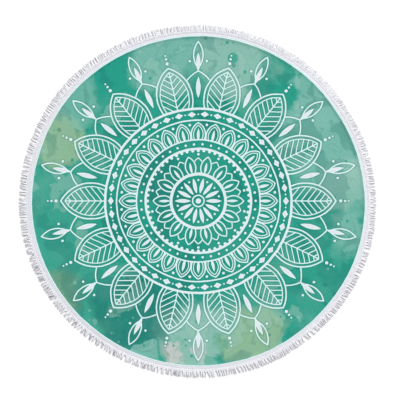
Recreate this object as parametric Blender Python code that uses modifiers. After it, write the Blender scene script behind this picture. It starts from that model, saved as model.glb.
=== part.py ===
"""Round beach towel, lying flat and face up.

A disc of towelling, its edge turned under once as a hem, laps over a narrow header tape. The tape carries a
fringe of cut yarns. The towel rests on z = 0 with the origin under its middle. Sizes are in metres, +Z is up.
"""

import math
import random
from collections import namedtuple

import bmesh
import bpy

TOWEL = "round_beach_towel"

# Widths, from the middle of the towel outwards.
CLOTH_RADIUS = 0.710
HEM_WIDTH = 0.014
TAPE_UNDER_HEM = 0.010
TAPE_SHOWING = 0.010
STRAND_LENGTH = 0.0262

# Thicknesses, and the room that the seam leaves between cloth and tape.
CLOTH_THICKNESS = 0.0020
HEM_THICKNESS = 0.0030
TAPE_THICKNESS = 0.0010
SEAM_GAP = 0.0003
FOLD_ROUNDING = 0.0010      # at the hem's outer fold
HEM_SHOULDER = 0.0040       # slope from the single cloth up on to the hem
UNDER_STEP = 0.0010         # slope on the underside, from the floor up on to the tape

# How far the towel is pulled out of round: lobes round the edge, how high each stands, and the way one faces.
EdgeWave = namedtuple("EdgeWave", "lobes height toward_deg")
EDGE_WAVES = (
    EdgeWave(lobes=2, height=0.0055, toward_deg=-12.5),
    EdgeWave(lobes=3, height=0.0019, toward_deg=-32.0),
    EdgeWave(lobes=4, height=0.0010, toward_deg=1.0),
    EdgeWave(lobes=5, height=0.0012, toward_deg=2.0),
    EdgeWave(lobes=7, height=0.0012, toward_deg=-20.0),
)

# Fringe: each strand's cross-sections beyond its root, as a share of its length, and its width and thickness.
STRANDS = 300
ROOT_SHARE = 0.70           # of the spacing that a strand fills where it leaves the tape
StrandSection = namedtuple("StrandSection", "share width thickness")
STRAND_SECTIONS = (
    StrandSection(share=0.50, width=0.0096, thickness=0.0023),
    StrandSection(share=1.00, width=0.0064, thickness=0.0015),
)

# Strands lean together in groups, and each a little on its own.
LeanWave = namedtuple("LeanWave", "groups reach start")
LEAN_WAVES = (
    LeanWave(groups=23, reach=0.0030, start=0.4),
    LeanWave(groups=41, reach=0.0019, start=2.1),
)
LEAN_CURVE = 1.5            # a strand leaves the tape straight, and leans over more and more towards its tip
LEAN_OF_ITS_OWN = 0.0011
UNEVEN_LENGTH = 0.0022
FRINGE_SEED = 11

CLOTH_STEPS = 144
TAPE_STEPS = 2 * STRANDS    # one stretch of the tape's edge for each strand, and one for each gap
MERGE = 0.0001
CREASE_DEG = 40.0           # edges sharper than this are drawn as edges

# Colours, linear.
SEA_GREEN = (0.14, 0.42, 0.33, 1.0)
OFF_WHITE = (0.77, 0.79, 0.85, 1.0)
TOWELLING_ROUGHNESS = 0.95
YARN_ROUGHNESS = 0.90


def clear_scene():
    """Remove what the start-up file holds."""
    for thing in list(bpy.data.objects):
        bpy.data.objects.remove(thing, do_unlink=True)


def fabric(name, colour, roughness):
    """Return a plain dull fabric finish."""
    material = bpy.data.materials.new(name)
    material.use_nodes = True
    shader = material.node_tree.nodes["Principled BSDF"]
    shader.inputs["Base Color"].default_value = colour
    shader.inputs["Roughness"].default_value = roughness
    shader.inputs["Metallic"].default_value = 0.0
    material.diffuse_color = colour
    return material


def turned(profile, steps, closed):
    """Return the mesh of a profile of (radius, height) points turned once about Z.

    A closed profile joins its last point to its first; an open one starts and ends on the axis.
    """
    last = len(profile) if closed else len(profile) - 1
    edges = [(i, (i + 1) % len(profile)) for i in range(last)]
    line = bpy.data.meshes.new("profile")
    line.from_pydata([(radius, 0.0, height) for radius, height in profile], edges, [])
    guide = bpy.data.objects.new("profile", line)
    bpy.context.scene.collection.objects.link(guide)
    screw = guide.modifiers.new("turn", "SCREW")
    screw.axis = "Z"
    screw.angle = math.tau
    screw.steps = steps
    screw.render_steps = steps
    screw.use_merge_vertices = True
    screw.merge_threshold = MERGE
    graph = bpy.context.evaluated_depsgraph_get()
    mesh = bpy.data.meshes.new_from_object(guide.evaluated_get(graph))
    bpy.data.objects.remove(guide, do_unlink=True)
    return mesh


def out_of_round(angle):
    """Return how much wider than a true circle the towel is, as a factor, towards an angle in radians."""
    pull = sum(w.height * math.cos(w.lobes * (angle - math.radians(w.toward_deg))) for w in EDGE_WAVES)
    return 1.0 + pull / CLOTH_RADIUS


def pull_out_of_round(shape):
    """Pull every point of a true round along its radius, so that the edge is as uneven as a worn towel's."""
    for vert in shape.verts:
        factor = out_of_round(math.atan2(vert.co.y, vert.co.x))
        vert.co.x *= factor
        vert.co.y *= factor


def finished_object(name, shape, material, collection):
    """Store a shape as a smooth-shaded object in the towel's collection."""
    mesh = bpy.data.meshes.new(name)
    shape.to_mesh(mesh)
    shape.free()
    mesh.materials.append(material)
    mesh.shade_smooth()
    mesh.set_sharp_from_angle(angle=math.radians(CREASE_DEG))
    piece = bpy.data.objects.new(name, mesh)
    collection.objects.link(piece)
    return piece


def cloth_profile():
    """Return the cloth's section from the middle of its face, over the hem, to the middle of its back."""
    hem_start = CLOTH_RADIUS - HEM_WIDTH
    hem_under = TAPE_THICKNESS + SEAM_GAP
    hem_top = hem_under + HEM_THICKNESS
    tape_start = CLOTH_RADIUS - TAPE_UNDER_HEM - SEAM_GAP
    return [
        (0.0, CLOTH_THICKNESS),
        (hem_start - HEM_SHOULDER, CLOTH_THICKNESS),
        (hem_start, hem_top),
        (CLOTH_RADIUS - FOLD_ROUNDING, hem_top),
        (CLOTH_RADIUS, hem_top - FOLD_ROUNDING),
        (CLOTH_RADIUS, hem_under + FOLD_ROUNDING),
        (CLOTH_RADIUS - FOLD_ROUNDING, hem_under),
        (tape_start, hem_under),
        (tape_start - UNDER_STEP, 0.0),
        (0.0, 0.0),
    ]


def make_cloth(collection):
    """Make the printed cloth with its turned hem."""
    shape = bmesh.new()
    shape.from_mesh(turned(cloth_profile(), CLOTH_STEPS, closed=False))
    pull_out_of_round(shape)
    return finished_object("cloth", shape, fabric("towelling", SEA_GREEN, TOWELLING_ROUGHNESS), collection)


def tape_profile():
    """Return the header tape's section, down its outer edge first."""
    inner = CLOTH_RADIUS - TAPE_UNDER_HEM
    outer = CLOTH_RADIUS + TAPE_SHOWING
    return [(outer, TAPE_THICKNESS), (outer, 0.0), (inner, 0.0), (inner, TAPE_THICKNESS)]


def share_out_roots(shape):
    """Widen the tape's even stretches for the strands' roots, and narrow the odd ones for the gaps."""
    step = math.tau / TAPE_STEPS
    widening = step * (2.0 * ROOT_SHARE - 1.0)
    for vert in shape.verts:
        angle = math.atan2(vert.co.y, vert.co.x) % math.tau
        if round(angle / step) % 2:
            radius = math.hypot(vert.co.x, vert.co.y)
            vert.co.x = radius * math.cos(angle + widening)
            vert.co.y = radius * math.sin(angle + widening)


def root_faces(shape):
    """Return the faces of the tape's outer edge that strands grow from, in order round the towel."""
    mid_tape = CLOTH_RADIUS + (TAPE_SHOWING - TAPE_UNDER_HEM) / 2.0
    pitch = math.tau / STRANDS
    roots = {}
    for face in shape.faces:
        if all(math.hypot(vert.co.x, vert.co.y) > mid_tape for vert in face.verts):
            middle = face.calc_center_median()
            turn = (math.atan2(middle.y, middle.x) % math.tau) / pitch
            if turn % 1.0 < ROOT_SHARE:
                roots[int(turn)] = face
    return [roots[i] for i in sorted(roots)]


def grow_strand(shape, root, lean, length):
    """Grow one four-sided strand from a face of the tape's edge, level on the floor all along."""
    middle = root.calc_center_median()
    angle = math.atan2(middle.y, middle.x)
    along_x, along_y = math.cos(angle), math.sin(angle)
    start = CLOTH_RADIUS + TAPE_SHOWING
    face = root
    for section in STRAND_SECTIONS:
        face = bmesh.ops.extrude_discrete_faces(shape, faces=[face])["faces"][0]
        reach = start + length * section.share
        drift = lean * section.share ** LEAN_CURVE
        centre_across = along_x * face.calc_center_median().y - along_y * face.calc_center_median().x
        for vert in face.verts:
            across = along_x * vert.co.y - along_y * vert.co.x
            side = math.copysign(section.width / 2.0, across - centre_across)
            upper = vert.co.z > TAPE_THICKNESS / 2.0
            vert.co.x = along_x * reach - along_y * (drift + side)
            vert.co.y = along_y * reach + along_x * (drift + side)
            vert.co.z = section.thickness if upper else 0.0


def make_fringe(collection):
    """Make the header tape and the strands that are fused to it at their roots."""
    chance = random.Random(FRINGE_SEED)
    shape = bmesh.new()
    shape.from_mesh(turned(tape_profile(), TAPE_STEPS, closed=True))
    share_out_roots(shape)
    for i, root in enumerate(root_faces(shape)):
        turn = math.tau * i / STRANDS
        lean = sum(wave.reach * math.sin(wave.groups * turn + wave.start) for wave in LEAN_WAVES)
        lean += chance.uniform(-LEAN_OF_ITS_OWN, LEAN_OF_ITS_OWN)
        length = STRAND_LENGTH + chance.uniform(-UNEVEN_LENGTH, UNEVEN_LENGTH)
        grow_strand(shape, root, lean, length)
    pull_out_of_round(shape)
    return finished_object("fringe", shape, fabric("yarn", OFF_WHITE, YARN_ROUGHNESS), collection)


def main():
    """Build the towel from its two sewn pieces."""
    clear_scene()
    collection = bpy.data.collections.new(TOWEL)
    bpy.context.scene.collection.children.link(collection)
    make_cloth(collection)
    make_fringe(collection)


main()
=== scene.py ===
"""Dresses the round beach towel: printed cloth with a turned hem, header tape, yarn fringe and sewing thread.

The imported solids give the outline. Places are in metres in their frame, with +Z up; the print is laid out in
millimetres from its own middle.
"""

from __future__ import annotations

import logging
import math
from dataclasses import dataclass
from enum import Enum
from typing import Any, Callable, Mapping, Union

import bpy
import numpy as np
from mathutils import Euler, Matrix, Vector, noise


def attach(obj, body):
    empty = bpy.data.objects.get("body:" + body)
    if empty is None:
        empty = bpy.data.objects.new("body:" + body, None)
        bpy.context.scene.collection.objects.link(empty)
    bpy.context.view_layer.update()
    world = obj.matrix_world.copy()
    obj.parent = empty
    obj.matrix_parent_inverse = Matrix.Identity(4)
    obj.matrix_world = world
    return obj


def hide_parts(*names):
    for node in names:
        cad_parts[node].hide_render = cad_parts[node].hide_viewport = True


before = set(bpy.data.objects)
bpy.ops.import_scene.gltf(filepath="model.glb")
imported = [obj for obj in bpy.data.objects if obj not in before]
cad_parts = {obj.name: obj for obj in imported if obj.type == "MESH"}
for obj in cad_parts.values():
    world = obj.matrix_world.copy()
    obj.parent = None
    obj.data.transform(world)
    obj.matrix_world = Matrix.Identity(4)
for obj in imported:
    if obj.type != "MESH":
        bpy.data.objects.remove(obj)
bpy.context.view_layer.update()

log = logging.getLogger("towel")

MM = 0.001
BODY = "root"
CORD_SIDES = 5
RING_STEPS = 720            # of the ring of edges that cords and yarns are laid along

Colour = tuple[float, float, float]
BLACK = (0.0, 0.0, 0.0)


# ---------------------------------------------------------------------------------------------- expressions


class Number:
    """A number that a node tree works out, with the arithmetic that its formulas use."""

    def __init__(self, graph: Graph, socket: bpy.types.NodeSocket) -> None:
        """Wrap the output that carries the number, in a graph."""
        self.graph = graph
        self.socket = socket

    def __add__(self, other: Scalar) -> Number:
        """Return this number plus another."""
        return self.graph.math("ADD", self, other)

    def __radd__(self, other: Scalar) -> Number:
        """Return another number plus this one."""
        return self.graph.math("ADD", other, self)

    def __sub__(self, other: Scalar) -> Number:
        """Return this number less another."""
        return self.graph.math("SUBTRACT", self, other)

    def __rsub__(self, other: Scalar) -> Number:
        """Return another number less this one."""
        return self.graph.math("SUBTRACT", other, self)

    def __mul__(self, other: Scalar) -> Number:
        """Return this number times another."""
        return self.graph.math("MULTIPLY", self, other)

    def __rmul__(self, other: Scalar) -> Number:
        """Return another number times this one."""
        return self.graph.math("MULTIPLY", other, self)

    def __truediv__(self, other: Scalar) -> Number:
        """Return this number over another."""
        return self.graph.math("DIVIDE", self, other)

    def __rtruediv__(self, other: Scalar) -> Number:
        """Return another number over this one."""
        return self.graph.math("DIVIDE", other, self)

    def __pow__(self, other: Scalar) -> Number:
        """Return this number to a power."""
        return self.graph.math("POWER", self, other)

    def __rpow__(self, other: Scalar) -> Number:
        """Return another number to the power of this one."""
        return self.graph.math("POWER", other, self)

    def __neg__(self) -> Number:
        """Return this number with its sign turned."""
        return self.graph.math("MULTIPLY", self, -1.0)

    def __abs__(self) -> Number:
        """Return this number without its sign."""
        return self.graph.math("ABSOLUTE", self)

    def least(self, other: Scalar) -> Number:
        """Return the smaller of this number and another."""
        return self.graph.math("MINIMUM", self, other)

    def most(self, other: Scalar) -> Number:
        """Return the larger of this number and another."""
        return self.graph.math("MAXIMUM", self, other)

    def fract(self) -> Number:
        """Return this number's part after the point."""
        return self.graph.math("FRACT", self)

    def floor(self) -> Number:
        """Return this number's whole part."""
        return self.graph.math("FLOOR", self)

    def root(self) -> Number:
        """Return this number's square root."""
        return self.graph.math("SQRT", self)

    def sin(self) -> Number:
        """Return the sine of this number of radians."""
        return self.graph.math("SINE", self)

    def cos(self) -> Number:
        """Return the cosine of this number of radians."""
        return self.graph.math("COSINE", self)

    def angle_to(self, across: Number) -> Number:
        """Return the angle of the point that is this far along and another number across, in radians."""
        return self.graph.math("ARCTAN2", across, self)

    def held(self) -> Number:
        """Return this number held between 0 and 1."""
        return self.graph.math("ADD", self, 0.0, clamp=True)


Scalar = Union[Number, float, int]


class Graph:
    """A node tree that is filled from Python expressions."""

    def __init__(self, tree: bpy.types.NodeTree) -> None:
        """Take over an empty shader or geometry tree."""
        self.tree = tree

    def node(
        self, kind: str, settings: Mapping[str, Any] | None = None, values: Mapping[Any, Any] | None = None
    ) -> bpy.types.Node:
        """Add one node.

        Args:
            kind: The node's type name.
            settings: Its properties, which are set first.
            values: A value, a socket or a Number for each input, by name or by number.

        Returns:
            The new node.
        """
        made = self.tree.nodes.new(kind)
        for name, setting in (settings or {}).items():
            setattr(made, name, setting)
        for name, value in (values or {}).items():
            self.feed(self.input(made, name), value)
        return made

    @staticmethod
    def input(made: bpy.types.Node, name: str | int) -> bpy.types.NodeSocket:
        """Return one of a node's inputs.

        Args:
            made: The node.
            name: The input's number, or the name of the one in use.

        Returns:
            The input.
        """
        if isinstance(name, int):
            return made.inputs[name]
        return next(socket for socket in made.inputs if socket.name == name and socket.enabled)

    @staticmethod
    def output(made: bpy.types.Node, name: str = "") -> bpy.types.NodeSocket:
        """Return a node's output that has a name, or its first one in use."""
        return next(socket for socket in made.outputs if socket.enabled and name in ("", socket.name))

    def feed(self, socket: bpy.types.NodeSocket, value: Any) -> None:
        """Link an input to a socket or a Number, or set it to a plain value.

        Args:
            socket: The input.
            value: What it gets.
        """
        if isinstance(value, Number):
            self.tree.links.new(value.socket, socket)
        elif isinstance(value, bpy.types.NodeSocket):
            self.tree.links.new(value, socket)
        else:
            socket.default_value = value

    def number(self, made: bpy.types.Node, name: str = "") -> Number:
        """Return a node's output as a Number."""
        return Number(self, self.output(made, name))

    def math(self, operation: str, *values: Scalar, clamp: bool = False) -> Number:
        """Return the result of a Math node on values, held between 0 and 1 if it is clamped."""
        settings = {"operation": operation, "use_clamp": clamp}
        return self.number(self.node("ShaderNodeMath", settings, dict(enumerate(values))))

    def vector(self, x: Scalar, y: Scalar, z: Scalar = 0.0) -> bpy.types.NodeSocket:
        """Return the vector that three numbers make."""
        return self.output(self.node("ShaderNodeCombineXYZ", values={"X": x, "Y": y, "Z": z}))

    def parts(self, vector: bpy.types.NodeSocket) -> tuple[Number, Number, Number]:
        """Return a vector's three numbers."""
        split = self.node("ShaderNodeSeparateXYZ", values={"Vector": vector})
        return self.number(split, "X"), self.number(split, "Y"), self.number(split, "Z")

    def noise(self, vector: bpy.types.NodeSocket, scale: float, detail: float = 2.0) -> bpy.types.Node:
        """Return a noise texture, with as many lumps to a unit and finer layers, and 0.5 on the whole."""
        return self.node("ShaderNodeTexNoise", values={"Vector": vector, "Scale": scale, "Detail": detail})

    def lumps(self, vector: bpy.types.NodeSocket, scale: float, detail: float = 2.0) -> Number:
        """Return the value of a noise at a place."""
        return self.number(self.noise(vector, scale, detail), "Fac")

    def drifts(
        self, vector: bpy.types.NodeSocket, scale: float, detail: float = 2.0
    ) -> tuple[Number, Number, Number]:
        """Return the three values of a noise at a place."""
        return self.parts(self.output(self.noise(vector, scale, detail), "Color"))


def rgba(colour: Any) -> Any:
    """Return three plain numbers with an alpha of 1, or a socket as it is."""
    return (*colour, 1.0) if isinstance(colour, tuple) else colour


class ShaderGraph(Graph):
    """The node tree of one material, round one Principled shader."""

    def __init__(self, name: str) -> None:
        """Make the material.

        Args:
            name: The material's name.
        """
        self.material = bpy.data.materials.new(name)
        self.material.use_nodes = True
        super().__init__(self.material.node_tree)
        self.tree.nodes.clear()
        self.shader = self.node("ShaderNodeBsdfPrincipled")
        self.node("ShaderNodeOutputMaterial", values={"Surface": self.output(self.shader)})

    def place(self) -> bpy.types.NodeSocket:
        """Return where a point is on the object, in metres."""
        return self.output(self.node("ShaderNodeTexCoord"), "Object")

    def tint(self, share: Scalar, under: Any, over: Any) -> bpy.types.NodeSocket:
        """Lay one colour over another.

        Args:
            share: How much of the upper colour shows, from 0 to 1.
            under: The lower colour, as three numbers or a socket.
            over: The upper colour, as three numbers or a socket.

        Returns:
            The mixed colour.
        """
        settings = {"data_type": "RGBA", "clamp_factor": True}
        values = {"Factor": share, "A": rgba(under), "B": rgba(over)}
        return self.output(self.node("ShaderNodeMix", settings, values))

    def attribute(self, name: str) -> Number:
        """Return an attribute that the piece's mesh carries."""
        return self.number(self.node("ShaderNodeAttribute", {"attribute_name": name}), "Fac")

    def relief(self, height: Number, depth: float) -> bpy.types.NodeSocket:
        """Return the normal of a surface that is raised by a height from 0 to 1, times a depth in metres."""
        return self.output(self.node("ShaderNodeBump", values={"Distance": depth, "Height": height}))

    def finish(
        self,
        colour: Any,
        roughness: Scalar,
        normal: bpy.types.NodeSocket | None = None,
        sheen: float = 0.0,
        specular: float = 0.3,
    ) -> bpy.types.Material:
        """Set the shader and return the finished material.

        Args:
            colour: The base colour.
            roughness: How dull the surface is.
            normal: The surface's fine relief.
            sheen: How much light stands on the fibres' ends at a glance.
            specular: How strongly the surface mirrors.

        Returns:
            The material.
        """
        values = {
            "Base Color": rgba(colour),
            "Roughness": roughness,
            "Sheen Weight": sheen,
            "Specular IOR Level": specular,
        }
        if normal is not None:
            values["Normal"] = normal
        for name, value in values.items():
            self.feed(self.input(self.shader, name), value)
        return self.material


class Domain(Enum):
    """What carries a stored attribute."""

    POINT = "POINT"
    INSTANCE = "INSTANCE"


class GeometryGraph(Graph):
    """A Geometry Nodes tree with named inputs, run once on a carrier mesh."""

    def __init__(self, name: str, inputs: Mapping[str, Any]) -> None:
        """Make the tree and its inputs.

        Args:
            name: The tree's name.
            inputs: The value of each input, by name: a whole number, a number or a material.
        """
        super().__init__(bpy.data.node_groups.new(name, "GeometryNodeTree"))
        kinds = {int: "NodeSocketInt", float: "NodeSocketFloat", bpy.types.Material: "NodeSocketMaterial"}
        face = self.tree.interface
        face.new_socket("Geometry", in_out="INPUT", socket_type="NodeSocketGeometry")
        face.new_socket("Geometry", in_out="OUTPUT", socket_type="NodeSocketGeometry")
        self.settings = {
            face.new_socket(key, in_out="INPUT", socket_type=kinds[type(value)]).identifier: value
            for key, value in inputs.items()
        }
        self.entry = self.node("NodeGroupInput")
        self.carrier = self.output(self.entry, "Geometry")

    def given(self, name: str) -> Any:
        """Return a named input: a Number, or the socket of a material."""
        socket = self.output(self.entry, name)
        return socket if socket.type == "MATERIAL" else Number(self, socket)

    def random(self, low: Scalar, high: Scalar, owner: Scalar, seed: Scalar) -> Number:
        """Return a random number for each owner, the same on each run."""
        values = {"Min": low, "Max": high, "ID": owner, "Seed": seed}
        return self.number(self.node("FunctionNodeRandomValue", {"data_type": "FLOAT"}, values))

    def stored(self, name: str) -> Number:
        """Return a stored attribute."""
        settings = {"data_type": "FLOAT"}
        return self.number(self.node("GeometryNodeInputNamedAttribute", settings, {"Name": name}))

    def share(self) -> Number:
        """Return how far along its own curve a point is, from 0 to 1."""
        return self.number(self.node("GeometryNodeSplineParameter"), "Factor")

    def order(self) -> Number:
        """Return the number of a point or an instance."""
        return self.number(self.node("GeometryNodeInputIndex"))

    def heading(self) -> Number:
        """Return the way from the middle of the towel to a point, as an angle in radians."""
        x, y, _ = self.parts(self.output(self.node("GeometryNodeInputPosition")))
        return x.angle_to(y)

    def store(
        self,
        geometry: bpy.types.NodeSocket,
        name: str,
        value: Scalar,
        domain: Domain = Domain.POINT,
    ) -> bpy.types.NodeSocket:
        """Store an attribute.

        Args:
            geometry: What it is stored on.
            name: Its name.
            value: Its value for each point or instance.
            domain: Whether points or instances carry it.

        Returns:
            The geometry that has it.
        """
        settings = {"data_type": "FLOAT", "domain": domain.value}
        values = {"Geometry": geometry, "Name": name, "Value": value}
        return self.output(self.node("GeometryNodeStoreNamedAttribute", settings, values))

    def line(self, start: Scalar, end: Scalar, count: int) -> bpy.types.NodeSocket:
        """Return a straight curve along X.

        Args:
            start: Where it starts.
            end: Where it ends.
            count: How many even points it has.

        Returns:
            The curve.
        """
        ends = {"Start": self.vector(start, 0.0), "End": self.vector(end, 0.0)}
        straight = self.output(self.node("GeometryNodeCurvePrimitiveLine", values=ends))
        return self.output(self.node("GeometryNodeResampleCurve", values={"Curve": straight, "Count": count}))

    def moved(
        self, geometry: bpy.types.NodeSocket, x: Scalar, y: Scalar, z: Scalar
    ) -> bpy.types.NodeSocket:
        """Return a geometry with each point moved by its own offset."""
        values = {"Geometry": geometry, "Offset": self.vector(x, y, z)}
        return self.output(self.node("GeometryNodeSetPosition", values=values))

    def realized(self, geometry: bpy.types.NodeSocket) -> bpy.types.NodeSocket:
        """Return a geometry with its instances made real."""
        return self.output(self.node("GeometryNodeRealizeInstances", values={"Geometry": geometry}))

    def laid_round(
        self, shape: bpy.types.NodeSocket, count: Scalar, heading: Scalar, length: Scalar = 1.0
    ) -> bpy.types.NodeSocket:
        """Return instances of a shape, laid at even steps along the carrier's ring.

        Args:
            shape: What is laid.
            count: How many.
            heading: The way each one's X axis faces.
            length: How far each one is drawn out along that axis, as a factor.

        Returns:
            The instances.
        """
        path = self.output(self.node("GeometryNodeMeshToCurve", values={"Mesh": self.carrier}))
        spots = self.node("GeometryNodeCurveToPoints", {"mode": "COUNT"}, {"Curve": path, "Count": count})
        turned = self.node("FunctionNodeEulerToRotation", values={"Euler": self.vector(0.0, 0.0, heading)})
        values = {
            "Points": self.output(spots, "Points"),
            "Instance": shape,
            "Rotation": self.output(turned),
            "Scale": self.vector(length, 1.0, 1.0),
        }
        return self.output(self.node("GeometryNodeInstanceOnPoints", values=values))

    def cord(self, curve: bpy.types.NodeSocket, thickness: Scalar, scale: Scalar) -> bpy.types.NodeSocket:
        """Return a round cord along a curve, which keeps how far along and round it each point is.

        Args:
            curve: The cord's middle line.
            thickness: How thick it is.
            scale: The factor that its thickness varies by.

        Returns:
            The cord's mesh, with its ends closed.
        """
        carried = self.store(curve, "along", self.share())
        circle = {"Resolution": CORD_SIDES, "Radius": thickness * 0.5}
        section = self.output(self.node("GeometryNodeCurvePrimitiveCircle", values=circle))
        profile = self.store(section, "around", self.share())
        values = {"Curve": carried, "Profile Curve": profile, "Scale": scale, "Fill Caps": True}
        return self.output(self.node("GeometryNodeCurveToMesh", values=values))

    def result(self, geometry: bpy.types.NodeSocket, material: bpy.types.NodeSocket) -> None:
        """Realize what is left of the instances and end the tree.

        Args:
            geometry: What the tree has made.
            material: The material that it gets.
        """
        smooth = self.node("GeometryNodeSetShadeSmooth", values={"Geometry": geometry})
        values = {"Geometry": self.realized(self.output(smooth)), "Material": material}
        dressed = self.node("GeometryNodeSetMaterial", values=values)
        self.node("NodeGroupOutput", values={"Geometry": self.output(dressed)})

    def grow(self, name: str, carrier: bpy.types.Mesh) -> bpy.types.Object:
        """Run the tree on a carrier and return the result as a plain mesh object.

        Args:
            name: The new piece's name.
            carrier: The mesh that the tree starts from.

        Returns:
            The piece, without the modifier.
        """
        host = link_object(name, carrier)
        modifier = host.modifiers.new("grow", "NODES")
        modifier.node_group = self.tree
        for identifier, value in self.settings.items():
            modifier[identifier] = value
        graph = bpy.context.evaluated_depsgraph_get()
        grown = bpy.data.meshes.new_from_object(host.evaluated_get(graph))
        host.modifiers.clear()
        host.data = grown
        grown.name = name
        return host


# --------------------------------------------------------------------------------------------- mesh helpers


class Slot(Enum):
    """The record's material slots."""

    PRINTED_TOWELLING = "printed_towelling"
    FRINGE_YARN = "fringe_yarn"


def link_object(name: str, mesh: bpy.types.Mesh) -> bpy.types.Object:
    """Put a mesh in the scene as an object at the origin.

    Args:
        name: The object's name.
        mesh: Its mesh.

    Returns:
        The object.
    """
    piece = bpy.data.objects.new(name, mesh)
    bpy.context.scene.collection.objects.link(piece)
    return piece


def dress(piece: bpy.types.Object, material: bpy.types.Material, slot: Slot) -> bpy.types.Object:
    """Give a piece its material and the body that it moves with.

    Args:
        piece: The piece.
        material: Its material, for a piece that has none yet.
        slot: Not used.

    Returns:
        The same piece.
    """
    if not piece.data.materials:
        piece.data.materials.append(material)
    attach(piece, BODY)
    log.info("%s: %d faces", piece.name, len(piece.data.polygons))
    return piece


@dataclass(frozen=True)
class Row:
    """One ring of a section: its radius as cut, its height, and its share of the cloth's swell."""

    radius: float
    height: float
    swell: float = 1.0


class Rim:
    """The towel's outline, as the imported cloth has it."""

    EDGE_SHARE = 0.985      # of the widest radius, beyond which a point belongs to the edge
    SAME_ANGLE = 1e-3       # between points of one place on the edge, in radians
    ANGLE_DECIMALS = 4

    def __init__(self, node: str) -> None:
        """Read the outline.

        Args:
            node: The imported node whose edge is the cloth's edge.
        """
        x, y, _ = np.array([vert.co[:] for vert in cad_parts[node].data.vertices]).T
        reach = np.hypot(x, y)
        at_edge = reach > self.EDGE_SHARE * reach.max()
        angles, reach = np.arctan2(y, x)[at_edge], reach[at_edge]
        self.angles = np.unique(np.round(angles, self.ANGLE_DECIMALS))
        self.reach = np.array([reach[np.abs(angles - key) < self.SAME_ANGLE].max() for key in self.angles])
        self.radius = float(self.reach.mean())

    def stretch(self, angle: float) -> float:
        """Return how far the towel is pulled out of a true round towards an angle, as a factor."""
        return float(np.interp(angle, self.angles, self.reach, period=math.tau)) / self.radius

    def point(self, radius: float, angle: float, height: float) -> Vector:
        """Return the place of a point that was cut at a radius and an angle."""
        reach = radius * self.stretch(angle)
        return Vector((reach * math.cos(angle), reach * math.sin(angle), height))

    def ring(self, name: str, radius: float, height: Callable[[Vector, float], float]) -> bpy.types.Mesh:
        """Return a closed ring of edges round the towel, for a tree to follow.

        Args:
            name: The mesh's name.
            radius: The ring's radius as cut.
            height: Gives the height at a place and an angle.

        Returns:
            The ring.
        """
        points = []
        for step in range(RING_STEPS):
            turn = math.tau * step / RING_STEPS
            point = self.point(radius, turn, 0.0)
            point.z = height(point, turn)
            points.append(point)
        mesh = bpy.data.meshes.new(name)
        mesh.from_pydata(points, [(i, (i + 1) % RING_STEPS) for i in range(RING_STEPS)], [])
        return mesh


# -------------------------------------------------------------------------------------------------- the print


DROP_TAIL = 0.45            # how far back through its foot a drop's tail starts, in lengths of the drop
DROP_WAIST = 0.98           # the tail's half width there, in radii of the foot


@dataclass(frozen=True)
class Sector:
    """One repeat of a round pattern: how far a point is along its middle line, and across from it."""

    along: Number
    across: Number

    def dot(self, at: float, size: float, aside: float = 0.0) -> Number:
        """Return the distance outside a dot of a radius, at a place along and aside of the middle line."""
        return ((self.along - at) ** 2 + (self.across - aside) ** 2).root() - size

    def petal(self, start: float, tip: float, half_width: float) -> Number:
        """Return the distance outside a petal that two arcs make.

        Args:
            start: Where it starts, along the middle line.
            tip: Where it ends.
            half_width: Half its width.

        Returns:
            The distance.
        """
        half = (tip - start) / 2
        back = (half**2 - half_width**2) / (2 * half_width)
        return ((self.along - (start + half)) ** 2 + (self.across + back) ** 2).root() - (half_width + back)

    def drop(self, start: float, tip: float, size: float) -> Number:
        """Return the distance outside a drop with a round foot and a pointed tip."""
        foot = self.dot(start + size, size)
        return foot.least(self.petal(start - (tip - start) * DROP_TAIL, tip, size * DROP_WAIST))

    def lozenge(self, at: float, half_length: float, half_width: float) -> Number:
        """Return the distance outside a lozenge."""
        sides = abs(self.along - at) * half_width + self.across * half_length - half_length * half_width
        return sides / math.hypot(half_length, half_width)

    def veins(self, veins: Veins) -> Number:
        """Return the distance outside slanting veins that meet on the middle line."""
        steps = ((self.along - self.across * veins.slope) / veins.pitch).fract() - 0.5
        return abs(steps) * (veins.pitch / math.hypot(1.0, veins.slope)) - veins.stroke / 2


class PolarField:
    """Coordinates round a middle: the distance from it, and the turn, from -0.5 to 0.5."""

    def __init__(self, x: Number, y: Number) -> None:
        """Work out the radius and the turn of what lies x to the right of the middle and y above it."""
        self.radius = (x * x + y * y).root()
        self.turn = x.angle_to(y) / math.tau

    def sector(self, repeats: int, between: bool = False) -> Sector:
        """Return one of a number of equal repeats.

        Args:
            repeats: How many there are round the print.
            between: Whether their middle lines lie halfway between the usual ones.

        Returns:
            The repeat, folded over its middle line.
        """
        shift = 0.0 if between else 0.5
        aside = abs((self.turn * repeats + shift).fract() - 0.5) * (math.tau / repeats)
        return Sector(self.radius * aside.cos(), self.radius * aside.sin())


class Ink:
    """What is printed white, kept as the distance outside the nearest printed shape."""

    def __init__(self, distance: Number) -> None:
        """Start with one shape."""
        self.distance = distance

    def add(self, *distances: Number) -> None:
        """Print more shapes."""
        for distance in distances:
            self.distance = self.distance.least(distance)


@dataclass(frozen=True)
class CircleRow:
    """A plain ring: its radius and the width of its line."""

    radius: float
    stroke: float


@dataclass(frozen=True)
class DotRow:
    """A row of dots: how many, where, how big, and how far aside of the middle lines."""

    count: int
    radius: float
    size: float
    between: bool = False
    aside: float = 0.0


@dataclass(frozen=True)
class Veins:
    """A leaf's veins: how far apart, how thick, how steep, and how thick the rib is that they leave."""

    pitch: float
    stroke: float
    slope: float
    rib: float


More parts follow.
